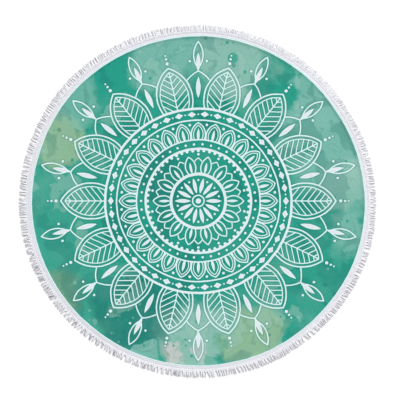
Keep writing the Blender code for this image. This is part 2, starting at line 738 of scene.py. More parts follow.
@dataclass(frozen=True)
class PetalRow:
    """A row of petals: how many, their ends and half width, and the radius below which none shows.

    Each has lines at insets from its outline, and may be solid or hold a drop or veins.
    """

    count: int
    start: float
    tip: float
    half_width: float
    foot: float
    strokes: tuple[float, ...] = ()
    insets: tuple[float, ...] = ()
    between: bool = False
    solid: bool = False
    drop: tuple[float, float, float] | None = None
    veins: Veins | None = None


@dataclass(frozen=True)
class LozengeRow:
    """A row of lozenges: how many, where, and half their size along and across."""

    count: int
    radius: float
    half_length: float
    half_width: float


HEART_RADIUS = 11.0
TIER_GAP = 4.0              # between a petal and the one that looks out from behind it

CIRCLES = (
    CircleRow(24.0, 5.4),
    CircleRow(114.0, 12.0),
    CircleRow(220.0, 9.6),
    CircleRow(258.0, 6.0),
    CircleRow(341.0, 6.0),
    CircleRow(389.0, 9.8),
)

DOTS = (
    DotRow(14, 88.0, 4.4, between=True),
    DotRow(14, 197.0, 5.2, between=True),
    DotRow(56, 212.0, 6.2),
    DotRow(42, 239.0, 5.0),
    DotRow(28, 322.0, 5.6, between=True),
    DotRow(42, 365.5, 3.6, between=True),
    DotRow(14, 594.0, 6.6),
    DotRow(14, 613.0, 4.8),
    DotRow(14, 628.0, 3.6),
    DotRow(14, 590.0, 5.0, between=True, aside=36.0),
)

LOZENGES = LozengeRow(42, 365.5, 12.0, 18.0)
DAISY = PetalRow(14, 31.0, 98.0, 7.8, 33.0, solid=True)
SMALL_FRONT = PetalRow(14, 104.0, 189.0, 21.5, 119.0, (5.0,), (0.0,), drop=(132.0, 166.0, 5.4))
SMALL_BACK = PetalRow(14, 104.0, 181.0, 22.0, 119.0, (4.6,), (0.0,), between=True)
ARCHES = PetalRow(28, 232.0, 330.0, 30.0, 260.0, (5.0, 3.6), (0.0, 9.5), drop=(268.0, 306.0, 6.2))
LEAF_VEINS = Veins(pitch=26.0, stroke=4.0, slope=0.8, rib=4.6)
GREAT_FRONT = PetalRow(14, 322.0, 574.0, 75.0, 392.0, (5.8, 4.2), (0.0, 15.0), veins=LEAF_VEINS)
GREAT_BACK = PetalRow(14, 322.0, 548.0, 72.0, 392.0, (5.2,), (0.0,), between=True, drop=(462.0, 524.0, 10.0))
BUDS = PetalRow(14, 560.0, 672.0, 20.0, 0.0, (5.2,), (0.0,), between=True, drop=(570.0, 626.0, 9.0))


class Mandala:
    """A round of common petal, pearl, arch and lozenge rows, all printed in white."""

    def __init__(self, field: PolarField) -> None:
        """Draw the round.

        Args:
            field: The print's coordinates.
        """
        self.field = field
        self.ink = Ink(field.radius - HEART_RADIUS)
        self._draw_circles()
        self._draw_dots()
        self._draw_petals(DAISY)
        self._draw_tiers(SMALL_FRONT, SMALL_BACK)
        self._draw_petals(ARCHES)
        self._draw_lozenges(LOZENGES)
        self._draw_tiers(GREAT_FRONT, GREAT_BACK)
        self._draw_petals(BUDS)

    def _draw_circles(self) -> None:
        """Print the plain rings."""
        for row in CIRCLES:
            self.ink.add(abs(self.field.radius - row.radius) - row.stroke / 2)

    def _draw_dots(self) -> None:
        """Print the rows of dots."""
        for row in DOTS:
            self.ink.add(self.field.sector(row.count, row.between).dot(row.radius, row.size, row.aside))

    def _draw_lozenges(self, row: LozengeRow) -> None:
        """Print one row of lozenges."""
        self.ink.add(self.field.sector(row.count).lozenge(row.radius, row.half_length, row.half_width))

    def _draw_petals(self, row: PetalRow, hidden_by: Number | None = None) -> Number:
        """Print one row of petals.

        Args:
            row: The petals' sizes.
            hidden_by: The distance outside the petals that lie in front of them.

        Returns:
            The distance outside the row's petals.
        """
        sector = self.field.sector(row.count, row.between)
        outside = sector.petal(row.start, row.tip, row.half_width)
        lines = [abs(outside + inset) - stroke / 2 for inset, stroke in zip(row.insets, row.strokes)]
        if row.solid:
            lines.append(outside)
        if row.drop:
            lines.append(sector.drop(*row.drop))
        if row.veins:
            veins = sector.veins(row.veins).least(sector.across - row.veins.rib / 2)
            lines.append(veins.most(outside + row.insets[-1]))
        drawn = Ink(lines[0])
        drawn.add(*lines[1:])
        drawn = drawn.distance.most(row.foot - self.field.radius)
        if hidden_by is not None:
            drawn = drawn.most(-hidden_by)
        self.ink.add(drawn)
        return outside

    def _draw_tiers(self, front: PetalRow, back: PetalRow) -> None:
        """Print two rows of petals, the back one only where it looks out between the front ones."""
        outside = self._draw_petals(front)
        self._draw_petals(back, hidden_by=outside - TIER_GAP)


class Wash(Enum):
    """The wash's colours, as the light leaves the cloth."""

    SEA_GREEN = (0.042, 0.352, 0.262)
    DEEP_TEAL = (0.009, 0.188, 0.160)
    BRIGHT_TEAL = (0.013, 0.325, 0.238)
    MIST = (0.205, 0.490, 0.415)
    PALE_MIST = (0.310, 0.550, 0.470)
    OLIVE = (0.290, 0.490, 0.310)
    MOSS = (0.155, 0.311, 0.196)
    BEIGE = (0.555, 0.574, 0.555)


@dataclass(frozen=True)
class Bloom:
    """A pool of colour in the wash: its middle, reach and soft edge in millimetres, its tint and strength."""

    x: float
    y: float
    reach: float
    edge: float
    tint: Wash
    strength: float


BLOOMS = (
    Bloom(-400, 480, 175, 60, Wash.BRIGHT_TEAL, 0.85),
    Bloom(-150, 600, 130, 40, Wash.MIST, 0.80),
    Bloom(140, 620, 160, 50, Wash.PALE_MIST, 0.75),
    Bloom(470, 420, 150, 30, Wash.MIST, 0.80),
    Bloom(580, 250, 220, 80, Wash.MIST, 0.85),
    Bloom(640, 60, 110, 30, Wash.PALE_MIST, 0.70),
    Bloom(350, 440, 70, 30, Wash.BRIGHT_TEAL, 0.95),
    Bloom(630, -150, 95, 30, Wash.MIST, 0.80),
    Bloom(510, -320, 170, 60, Wash.BRIGHT_TEAL, 0.60),
    Bloom(340, -530, 110, 40, Wash.BRIGHT_TEAL, 0.60),
    Bloom(240, -580, 125, 40, Wash.OLIVE, 0.85),
    Bloom(-40, -570, 150, 30, Wash.PALE_MIST, 0.75),
    Bloom(-110, -650, 44, 10, Wash.BEIGE, 0.85),
    Bloom(10, -620, 38, 10, Wash.BEIGE, 0.80),
    Bloom(60, -672, 36, 8, Wash.SEA_GREEN, 0.95),
    Bloom(-270, -490, 160, 50, Wash.DEEP_TEAL, 0.75),
    Bloom(-240, -630, 48, 12, Wash.MIST, 0.80),
    Bloom(-565, -370, 95, 50, Wash.MOSS, 0.75),
    Bloom(-590, 270, 120, 24, Wash.OLIVE, 0.85),
    Bloom(-520, 420, 95, 40, Wash.MIST, 0.65),
    Bloom(-160, 110, 90, 60, Wash.DEEP_TEAL, 0.65),
)


@dataclass(frozen=True)
class Layer:
    """A layer of thin colour: its tint, and its strength on the print's inner and outer parts."""

    tint: Wash
    inner: float
    outer: float

    def over(self, ground: bpy.types.NodeSocket, share: Number, outwards: Number) -> bpy.types.NodeSocket:
        """Return a ground with this layer over a share of it."""
        strength = outwards * (self.outer - self.inner) + self.inner
        return share.graph.tint(share.held() * strength, ground, self.tint.value)


@dataclass(frozen=True)
class Splash:
    """Small crisp drops: cells to a millimetre, the share of cells without one, and the drops' colour."""

    scale: float
    rare: float
    tint: Wash
    strength: float


SPLASHES = (
    Splash(0.013, 0.80, Wash.BRIGHT_TEAL, 0.75),
    Splash(0.026, 0.86, Wash.DEEP_TEAL, 0.50),
    Splash(0.040, 0.86, Wash.BRIGHT_TEAL, 0.80),
    Splash(0.033, 0.90, Wash.PALE_MIST, 0.40),
)


@dataclass(frozen=True)
class Watercolour:
    """The print's ground: pools of thin colour with crisp edges in some places and soft in others.

    Lengths are in millimetres, scales in lumps to a millimetre, and levels of a noise that swings round 0.5.
    """

    drift_scale: float = 0.0065
    drift: float = 230.0
    drift_detail: float = 4.0
    ragged_scale: float = 0.035
    ragged: float = 26.0
    inner_radius: float = 380.0
    inner_edge: float = 140.0
    patch_scale: float = 0.0085
    patch_lean: float = 0.3
    patch_seed: float = 40.0
    patch_gain: float = 30.0
    pale_level: float = 0.5633
    deep_level: float = 0.4467
    rim_levels: tuple[float, ...] = (0.56, 0.44)
    rim_gain: float = 80.0
    mist_gain: float = 3.0
    pale_patches: Layer = Layer(Wash.PALE_MIST, 0.04, 0.38)
    deep_patches: Layer = Layer(Wash.DEEP_TEAL, 0.58, 0.36)
    rims: Layer = Layer(Wash.DEEP_TEAL, 0.22, 0.22)
    mist: Layer = Layer(Wash.MIST, 0.06, 0.36)
    drop_least: float = 0.08
    drop_spread: float = 0.30
    drop_gain: float = 14.0
    chance_gain: float = 40.0
    unevenness: float = 0.9

    def ground(self, graph: ShaderGraph, x: Number, y: Number, radius: Number) -> bpy.types.NodeSocket:
        """Return the wash's colour.

        Args:
            graph: The material's graph.
            x: Millimetres to the right of the print's middle.
            y: Millimetres up from it.
            radius: Millimetres from it.

        Returns:
            The colour.
        """
        flat = graph.vector(x, y)
        drift_x, drift_y, depth = graph.drifts(flat, self.drift_scale, self.drift_detail)
        ragged_x, ragged_y, _ = graph.drifts(flat, self.ragged_scale)
        x = x + (drift_x - 0.5) * self.drift + (ragged_x - 0.5) * self.ragged
        y = y + (drift_y - 0.5) * self.drift + (ragged_y - 0.5) * self.ragged
        outwards = ((radius - self.inner_radius) / self.inner_edge).held()
        ground = graph.tint(outwards, Wash.BRIGHT_TEAL.value, Wash.SEA_GREEN.value)
        for bloom in BLOOMS:
            reach = ((x - bloom.x) ** 2 + (y - bloom.y) ** 2).root()
            share = ((bloom.reach - reach) / bloom.edge + 0.5).held() * bloom.strength
            ground = graph.tint(share, ground, bloom.tint.value)
        spot = graph.vector(x, y * (1.0 - self.patch_lean) + x * self.patch_lean, self.patch_seed)
        patches = graph.lumps(spot, self.patch_scale)
        ground = self.pale_patches.over(ground, (patches - self.pale_level) * self.patch_gain, outwards)
        ground = self.deep_patches.over(ground, (self.deep_level - patches) * self.patch_gain, outwards)
        for level in self.rim_levels:
            ground = self.rims.over(ground, 1.0 - abs(patches - level) * self.rim_gain, outwards)
        ground = self.mist.over(ground, (depth - 0.5) * self.mist_gain, outwards)
        return self._splashed(graph, flat, outwards, ground)

    def _splashed(
        self, graph: ShaderGraph, flat: bpy.types.NodeSocket, outwards: Number, ground: bpy.types.NodeSocket
    ) -> bpy.types.NodeSocket:
        """Return the wash with drops splashed on its outer part, most of them dark.

        Args:
            graph: The material's graph.
            flat: Millimetres right of and above the print's middle.
            outwards: 0 on the print's inner part and 1 on its outer one.
            ground: The wash's colour.

        Returns:
            The colour with its drops.
        """
        for splash in SPLASHES:
            values = {"Vector": flat, "Scale": splash.scale, "Randomness": self.unevenness}
            cells = graph.node("ShaderNodeTexVoronoi", values=values)
            chance, size, _ = graph.parts(graph.output(cells, "Color"))
            edge = size * self.drop_spread + self.drop_least
            inside = ((edge - graph.number(cells, "Distance")) * self.drop_gain).held()
            wet = ((chance - splash.rare) * self.chance_gain).held()
            ground = graph.tint(inside * wet * outwards * splash.strength, ground, splash.tint.value)
        return ground


@dataclass(frozen=True)
class PrintedTowelling:
    """Short cropped pile, white, with a washed green print that has a round of white line-work.

    The print's lengths are in millimetres. Scales of noise are in lumps to a metre.
    """

    print_radius: float = 694.4
    offset_x: float = 1.9
    offset_y: float = 1.5
    sway_scale: float = 28.0
    sway: float = 3.0
    fuzz_scale: float = 420.0
    fuzz: float = 1.6
    line_blur: float = 1.2
    whitening: float = 0.28
    white_from: float = 0.3
    pooled_width: float = 7.0
    pooled: float = 0.42
    border_width: float = 20.0
    less_at_border: float = 0.32
    pile_scale: float = 2100.0
    pit_level: float = 0.80
    pit_gain: float = 1.2
    pit_shade: float = 0.50
    brushed_scale: float = 9.0
    brushed: float = 0.12
    mark_scale: float = 55.0
    pile_share: float = 0.35
    mark_share: float = 0.80
    nap_depth: float = 0.0010
    white: Colour = (0.763, 0.784, 0.840)
    bright_white: Colour = (0.710, 0.930, 0.925)
    roughness: float = 0.92
    wash: Watercolour = Watercolour()

    def material(self) -> bpy.types.Material:
        """Build the finish, which reads the cloth's cut coordinates and its place in metres.

        Returns:
            The material.
        """
        graph = ShaderGraph("printed_towelling")
        place = graph.place()
        x, y = self._cut_coordinates(graph, place)
        field = PolarField(x, y)
        ink = Mandala(field).ink
        ink.add(self.print_radius - field.radius)
        distance = ink.distance + (graph.lumps(place, self.fuzz_scale, 1.0) - 0.5) * self.fuzz
        border = ((field.radius - self.print_radius) / self.border_width + 1.0).held()
        pooled = (1.0 - distance / self.pooled_width).held() * (self.pooled - border * self.less_at_border)
        ground = graph.tint(pooled, self.wash.ground(graph, x, y, field.radius), Wash.DEEP_TEAL.value)
        whiter = (distance * -self.whitening - self.white_from).held()
        inked = graph.tint(whiter, self.bright_white, self.white)
        printed = graph.tint((0.5 - distance / self.line_blur).held(), ground, inked)
        pile = graph.lumps(place, self.pile_scale, 1.0)
        # Painted shade: the colour darkens towards black between the pile's tufts, where the pile noise is
        # low.
        painted_pit_shade = (self.pit_level - pile * self.pit_gain).held() * self.pit_shade
        shaded = graph.tint(painted_pit_shade, printed, BLACK)
        dull = graph.lumps(place, self.brushed_scale) * self.brushed + (self.roughness - self.brushed / 2)
        nap = pile * self.pile_share + graph.lumps(place, self.mark_scale) * self.mark_share
        return graph.finish(shaded, dull, graph.relief(nap, self.nap_depth), sheen=0.1, specular=0.1)

    def _cut_coordinates(self, graph: ShaderGraph, place: bpy.types.NodeSocket) -> tuple[Number, Number]:
        """Return the print's own coordinates, unsteady as a print on pile is.

        Args:
            graph: The material's graph.
            place: The place in metres.

        Returns:
            Millimetres right of the print's middle, and above it.
        """
        x, y, _ = graph.parts(graph.output(graph.node("ShaderNodeUVMap", {"uv_map": "cut"})))
        sway_x, sway_y, _ = graph.drifts(place, self.sway_scale, 1.0)
        x = x / MM + (sway_x * self.sway - (self.offset_x + self.sway / 2))
        y = y / MM + (sway_y * self.sway - (self.offset_y + self.sway / 2))
        return x, y


# The shade colours give the yarns a random tone, and also painted shade in the plies' grooves and on yarns
# that lie under others.
YARN_WHITE = (0.930, 0.935, 0.965)
YARN_SHADE = (0.785, 0.785, 0.840)
RIB_WHITE = (0.890, 0.895, 0.920)
RIB_SHADE = (0.630, 0.630, 0.685)


@dataclass(frozen=True)
class TwistedYarn:
    """Soft off-white yarn: its colours, its twist, and the height in metres below which it greys.

    Each point carries how far along and round the yarn it is, and its own tone, which holds the painted shade
    of under yarns.
    Painted shade greys the yarn below the height set for it, and at any height where its tone is darker than
    grey_from.
    """

    name: str
    colour: Colour
    shade: Colour
    turns: float
    painted_shade_below: float = 0.0
    grey_from: float = 1.6
    grey_share: float = 0.55
    painted_shade_grey: Colour = (0.290, 0.280, 0.355)
    plies: float = 3.0
    fuzz_scale: float = 900.0
    blend: float = 0.4
    ply_depth: float = 0.7
    fuzz_depth: float = 0.2
    depth: float = 0.0004
    roughness: float = 0.9
    unevenness: float = 0.1

    def material(self) -> bpy.types.Material:
        """Build the finish.

        Returns:
            The material.
        """
        graph = ShaderGraph(self.name)
        along, around, own = (graph.attribute(name) for name in ("along", "around", "own"))
        plies = 1.0 - abs((along * self.turns + around * self.plies).fract() - 0.5) * 2.0
        place = graph.place()
        fuzz = graph.lumps(place, self.fuzz_scale)
        # Painted shade: the shade colour falls in the grooves between the plies and on yarns that lie under
        # others; the fuzz and the random part of the tone are the yarn's own.
        tone_and_painted_shade = (plies * self.blend + fuzz * self.blend + own * self.blend).held()
        colour = graph.tint(tone_and_painted_shade, self.shade, self.colour)
        # Painted shade: the yarn greys towards the floor below the height set for it, and at any height where
        # its tone is darker than grey_from.
        if self.painted_shade_below:
            _, _, height = graph.parts(place)
            low = (1.0 - height / self.painted_shade_below).held()
            painted_under_shade = (-own - self.grey_from).held() * self.grey_share
            colour = graph.tint(low + painted_under_shade, colour, self.painted_shade_grey)
        dull = fuzz * self.unevenness + (self.roughness - self.unevenness / 2)
        relief = graph.relief(plies * self.ply_depth + fuzz * self.fuzz_depth, self.depth)
        return graph.finish(colour, dull, relief, sheen=0.1)


@dataclass(frozen=True)
class WovenTape:
    """Narrow off-white woven tape, in a fine plain weave."""

    colour: Colour = (0.800, 0.805, 0.850)
    shade: Colour = (0.680, 0.685, 0.730)
    weft_threads: float = 382.0
    warp_pitch: float = 0.0016
    fuzz_scale: float = 700.0
    blend: float = 0.4
    depth: float = 0.0004
    roughness: float = 0.9
    unevenness: float = 0.1

    def material(self) -> bpy.types.Material:
        """Build the finish, on the object's coordinates.

        Returns:
            The material.
        """
        graph = ShaderGraph("woven_tape")
        place = graph.place()
        x, y, _ = graph.parts(place)
        field = PolarField(x, y)
        weft = ((field.turn * (math.tau * self.weft_threads)).sin() * 0.5 + 0.5).held()
        warp = ((field.radius * (math.tau / self.warp_pitch)).sin() * 0.5 + 0.5).held()
        fuzz = graph.lumps(place, self.fuzz_scale)
        # Painted shade: the shade colour falls in the weave's grooves, besides a random tone from the fuzz.
        woven = (weft * self.blend + warp * self.blend + fuzz * self.blend).held()
        colour = graph.tint(woven, self.shade, self.colour)
        dull = fuzz * self.unevenness + (self.roughness - self.unevenness / 2)
        return graph.finish(colour, dull, graph.relief(woven, self.depth), sheen=0.15)


@dataclass(frozen=True)
class PaleFloor:
    """The plain pale floor that the towel lies on, with a very slight mottle."""

    colour: Colour = (0.900, 0.900, 0.900)
    mottle_scale: float = 3.0
    mottle: float = 0.02
    roughness: float = 0.95

    def material(self) -> bpy.types.Material:
        """Build the matt finish.

        Returns:
            The material.
        """
        graph = ShaderGraph("pale_floor")
        mottled = graph.lumps(graph.place(), self.mottle_scale) * self.mottle
        return graph.finish(graph.tint(mottled, self.colour, BLACK), self.roughness, specular=0.0)


# ---------------------------------------------------------------------------------------------- the pieces


@dataclass(frozen=True)
class Lumps:
    """A noise of soft lumps: how many fit in a unit, and where in the noise the towel's middle is."""

    scale: float
    middle: tuple[float, float, float]

    def at(self, x: float, y: float) -> float:
        """Return the noise at a place, from about -1 to 1."""
        right, up, layer = self.middle
        return noise.noise(Vector((x * self.scale + right, y * self.scale + up, layer)))


@dataclass
class PrintedCloth:
    """The printed disc with its turned hem, whose face slopes down outwards to the fold.

    Insets are distances in from the cloth's edge. The swell is how far the cloth stands off the floor, and
    the pucker how far the stitching draws the hem up or down.
    """

    rim: Rim
    finish: PrintedTowelling
    thickness: float = 0.0020
    hem_width: float = 0.014
    crest: float = 0.0043
    shoulder: float = 0.0100
    slope_width: float = 0.0180
    slope_power: float = 1.1
    fold_thickness: float = 0.0018
    fold_bulge: float = 0.0010
    fold_degrees: tuple[float, ...] = (60.0, 30.0, 0.0, -30.0, -60.0)
    fold_under: float = 0.0012
    tape_under: float = 0.010
    tape_clearance: float = 0.0013
    tape_insets: tuple[float, float, float] = (0.0003, 0.0018, 0.0080)
    stitch_rows: tuple[float, float] = (0.0122, 0.0036)
    stitch_dent: float = 0.0006
    stitch_width: float = 0.0006
    dent_steps: tuple[float, ...] = (-0.0010, -0.0005, 0.0, 0.0005, 0.0010)
    hem_insets: tuple[float, ...] = (0.0165, 0.0150, 0.0105, 0.0085, 0.0065, 0.0018, 0.0010)
    hem_swell: float = 0.5
    fold_swell: float = 0.15
    held_swell: float = 0.35
    swell_height: float = 0.0022
    swell_level: float = 0.35
    broad_share: float = 1.1
    broad: Lumps = Lumps(3.1, (7.3, -2.1, 0.5))
    narrow_share: float = 0.45
    narrow: Lumps = Lumps(9.0, (-4.0, 1.7, 3.5))
    pucker_height: float = 0.00045
    gathers: Lumps = Lumps(42.0, (0.0, 0.0, 9.0))
    first_ring: float = 0.012
    ring_spacing: float = 0.016
    ring_room: float = 0.004
    back_start: float = 0.03
    back_spacing: float = 0.04
    plain_beyond: float = 0.1
    steps: int = 600

    def swell(self, x: float, y: float) -> float:
        """Return the swell at a place, in soft wide lumps.

        Args:
            x: The place along X.
            y: The place along Y.

        Returns:
            The swell, 0 where the cloth lies flat.
        """
        broad = self.broad_share * self.broad.at(x, y)
        narrow = self.narrow_share * self.narrow.at(x, y)
        return self.swell_height * max(0.0, self.swell_level + broad + narrow)

    def pucker(self, angle: float) -> float:
        """Return the pucker at an angle."""
        return self.pucker_height * self.gathers.at(math.cos(angle), math.sin(angle))

    def lift_share(self, inset: float) -> float:
        """Return the share of the swell that lifts the hem at an inset; the tape holds it down."""
        return self.fold_swell + self.held_swell * min(1.0, inset / self.hem_width)

    def hem_height(self, inset: float) -> float:
        """Return the height of the hem's face, with the dents that the stitches pull.

        Args:
            inset: How far in from the edge.

        Returns:
            The height, without the swell and the pucker.
        """
        drop = self.crest - self.tape_clearance - self.fold_thickness
        slope = drop * max(0.0, 1.0 - inset / self.slope_width) ** self.slope_power
        offsets = [(inset - row) / self.stitch_width for row in self.stitch_rows]
        return self.crest - slope - sum(self.stitch_dent * math.exp(-(offset**2)) for offset in offsets)

    def rows(self) -> list[Row]:
        """Return the section from the middle of the face, over the hem, to the middle of the back."""
        face, back = Row(0.0, self.thickness), Row(0.0, 0.0)
        return [face, *self._face_rows(), *self._hem_rows(), *self._back_rows(), back]

    def _face_rows(self) -> list[Row]:
        """Work out the face.

        Returns:
            The rings of the flat face and of its rise on to the hem.
        """
        crest_radius = self.rim.radius - self.slope_width
        last = crest_radius - self.shoulder - self.ring_room
        face = [Row(radius, self.thickness) for radius in np.arange(self.first_ring, last, self.ring_spacing)]
        for share in (0.0, 0.25, 0.5, 0.75, 1.0):
            smooth = share * share * (3.0 - 2.0 * share)
            radius = crest_radius + self.shoulder * (share - 1.0)
            height = self.thickness + (self.crest - self.thickness) * smooth
            face.append(Row(radius, height, 1.0 - (1.0 - self.hem_swell) * smooth))
        return face

    def _hem_rows(self) -> list[Row]:
        """Work out the hem.

        Returns:
            The rings of its face, close together at its stitches, and of its rounded fold.
        """
        edge = self.rim.radius
        stitched = {row + step for row in self.stitch_rows for step in self.dent_steps}
        insets = sorted({*self.hem_insets, *stitched}, reverse=True)
        hem = [Row(edge - inset, self.hem_height(inset), self.lift_share(inset)) for inset in insets]
        bend = self.fold_thickness / 2
        for turn in np.radians(self.fold_degrees):
            radius = edge + self.fold_bulge * (math.cos(turn) - 1.0)
            height = self.tape_clearance + bend * (1.0 + math.sin(turn))
            hem.append(Row(radius, height, self.lift_share(0.0)))
        return hem

    def _back_rows(self) -> list[Row]:
        """Work out the back.

        Returns:
            The rings over the tape, down to the floor beside it, and across the floor.
        """
        tape = self.rim.radius - self.tape_under
        over, beside, whole = (tape - inset for inset in self.tape_insets)
        back = [
            Row(self.rim.radius - self.fold_under, self.tape_clearance, self.lift_share(0.0)),
            Row(over, self.tape_clearance, self.lift_share(0.0)),
            Row(beside, 0.0, self.hem_swell),
            Row(whole, 0.0),
        ]
        start = tape - self.back_start
        return back + [Row(radius, 0.0) for radius in np.arange(start, self.back_start, -self.back_spacing)]

    def build(self) -> bpy.types.Object:
        """Build the cloth, keep its cut coordinates on it and dress it.

        Returns:
            The piece.
        """
        rows = self.rows()
        turns = [math.tau * step / self.steps for step in range(self.steps)]
        points, cut = [], []
        outermost = max(range(len(rows)), key=lambda i: rows[i].radius)
        for i, row in enumerate(rows):
            hemmed = row.radius > self.rim.radius - self.hem_width and row.height > self.thickness
            reach = row.radius if i <= outermost else self.rim.radius + self.plain_beyond
            for turn in turns if 0 < i < len(rows) - 1 else turns[:1]:
                point = self.rim.point(row.radius, turn, 0.0)
                drawn = self.pucker(turn) if hemmed else 0.0
                point.z = max(0.0, row.height + self.swell(point.x, point.y) * row.swell + drawn)
                points.append(point)
                cut.append((reach * math.cos(turn), reach * math.sin(turn)))
        piece = link_object("printed_cloth", self._mesh(points, cut))
        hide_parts("cloth")
        return dress(piece, self.finish.material(), Slot.PRINTED_TOWELLING)

    def _mesh(self, points: list[Vector], cut: list[tuple[float, float]]) -> bpy.types.Mesh:
        """Return the closed mesh of rings between two middle points.

        Args:
            points: The first middle point, the rings' points in order, and the last middle point.
            cut: Where each point was on the flat cloth.

        Returns:
            The mesh, smooth, with the cut coordinates as its UV map.
        """
        steps = self.steps
        last = len(points) - 1
        faces = [(0, 1 + j, 1 + (j + 1) % steps) for j in range(steps)]
        for inner in range(1, last - steps, steps):
            outer = inner + steps
            for j in range(steps):
                k = (j + 1) % steps
                faces.append((inner + j, outer + j, outer + k, inner + k))
        end = last - steps
        faces += [(last, end + (j + 1) % steps, end + j) for j in range(steps)]
        mesh = bpy.data.meshes.new("printed_cloth")
        mesh.from_pydata(points, [], faces)
        layer = mesh.uv_layers.new(name="cut")
        corners = np.empty(len(mesh.loops), dtype=np.int32)
        mesh.loops.foreach_get("vertex_index", corners)
        layer.data.foreach_set("uv", np.array(cut, dtype=np.float32)[corners].ravel())
        mesh.shade_smooth()
        return mesh


@dataclass(frozen=True)
class CordRow:
    """Short arched cords, such as stitches or ribs, that repeat along a ring.

    Each has a length, a thickness and a rise, is turned away from the ring's radius, a little unevenly, may
    be flattened, and narrows towards its ends.
    """

    name: str
    inset: float
    height: float
    spacing: float
    length: float
    thickness: float
    rise: float
    turn_deg: float
    uneven_deg: float
    flatten: float = 1.0
    roundness: float = 0.6
    end_scale: float = 0.55
    points: int = 5
    seed: int = 4

    def build(self, cloth: PrintedCloth, material: bpy.types.Material) -> bpy.types.Object:
        """Lay the cords along their ring and dress them.

        Args:
            cloth: The cloth, whose swell they follow.
            material: Their finish.

        Returns:
            One mesh of all the cords.
        """
        rim = cloth.rim
        graph = GeometryGraph(
            self.name,
            {
                "Count": round(math.tau * (rim.radius - self.inset) / self.spacing),
                "Length": self.length,
                "Thickness": self.thickness,
                "Rise": self.rise,
                "Turn": math.radians(self.turn_deg),
                "Flatten": self.flatten,
                "Uneven": math.radians(self.uneven_deg),
                "Seed": self.seed,
                "Material": material,
            },
        )
        given = graph.given
        half = given("Length") * 0.5
        bow = (graph.share() * math.pi).sin() ** self.roundness
        arched = graph.moved(graph.line(-half, half, self.points), 0.0, 0.0, (bow - 0.5) * given("Rise"))
        cord = graph.cord(arched, given("Thickness"), bow * (1.0 - self.end_scale) + self.end_scale)
        values = {"Geometry": cord, "Scale": graph.vector(1.0, 1.0, given("Flatten"))}
        flat = graph.output(graph.node("GeometryNodeTransform", values=values))
        sway = graph.random(-1.0, 1.0, graph.order(), given("Seed")) * given("Uneven")
        laid = graph.laid_round(flat, given("Count"), graph.heading() + given("Turn") + sway)
        tone = graph.random(0.0, 1.0, graph.order(), given("Seed") + 1)
        graph.result(graph.store(laid, "own", tone, Domain.INSTANCE), given("Material"))

        def height(point: Vector, turn: float) -> float:
            """Return the height of the ring, on the swelling cloth or on the flat tape beyond its edge.

            Args:
                point: A place on the ring.
                turn: Its angle.

            Returns:
                The height.
            """
            if self.inset <= 0:
                return self.height
            swollen = cloth.swell(point.x, point.y) * cloth.lift_share(self.inset)
            return self.height + swollen + cloth.pucker(turn)

        ring = rim.ring(self.name, rim.radius - self.inset, height)
        return dress(graph.grow(self.name, ring), material, Slot.FRINGE_YARN)


@dataclass
class HemStitching:
    """Two rows of lockstitch: one holds the turned hem, the other the tape under it."""

    cloth: PrintedCloth
    finish: TwistedYarn
    stitch_length: float = 0.0042
    thread: float = 0.0007
    shown_share: float = 0.86
    sunk_share: float = 0.25
    rise_share: float = 0.9
    uneven_deg: float = 4.0

    def build(self) -> list[bpy.types.Object]:
        """Build both rows and dress them.

        Returns:
            One piece for each row.
        """
        material = self.finish.material()
        pieces = []
        for name, inset in zip(("hem_stitches", "tape_stitches"), self.cloth.stitch_rows):
            row = CordRow(
                name,
                inset,
                height=self.cloth.hem_height(inset) + self.thread * self.sunk_share,
                spacing=self.stitch_length,
                length=self.stitch_length * self.shown_share,
                thickness=self.thread,
                rise=self.thread * self.rise_share,
                turn_deg=90.0,
                uneven_deg=self.uneven_deg,
            )
            pieces.append(row.build(self.cloth, material))
        return pieces


class Draw(Enum):
    """What a random number decides; each has a seed of its own."""

    LENGTH = 0
    PLUMPNESS = 1
    LEAN = 2
    STRAY = 3
    WAVE = 4
    TWIST = 6
    GATHERING = 7
    TONE = 9
    BUNDLE_TONE = 10


@dataclass(frozen=True)
class Patches:
    """A soft change round the towel, 0.5 on the whole: its lumps to a radian, and its layer of the noise."""

    lumps: float
    layer: float

    def at(self, graph: GeometryGraph, heading: Number) -> Number:
        """Return the change at a heading."""
        spot = graph.vector(heading.cos() * self.lumps, heading.sin() * self.lumps, self.layer)
        return graph.lumps(spot, 1.0)


def facing(heading: Number, degrees: float) -> Number:
    """Return 1 for what heads a way, in degrees from +X towards +Y, and down to -1 for what heads away."""
    return (heading - math.radians(degrees)).cos()


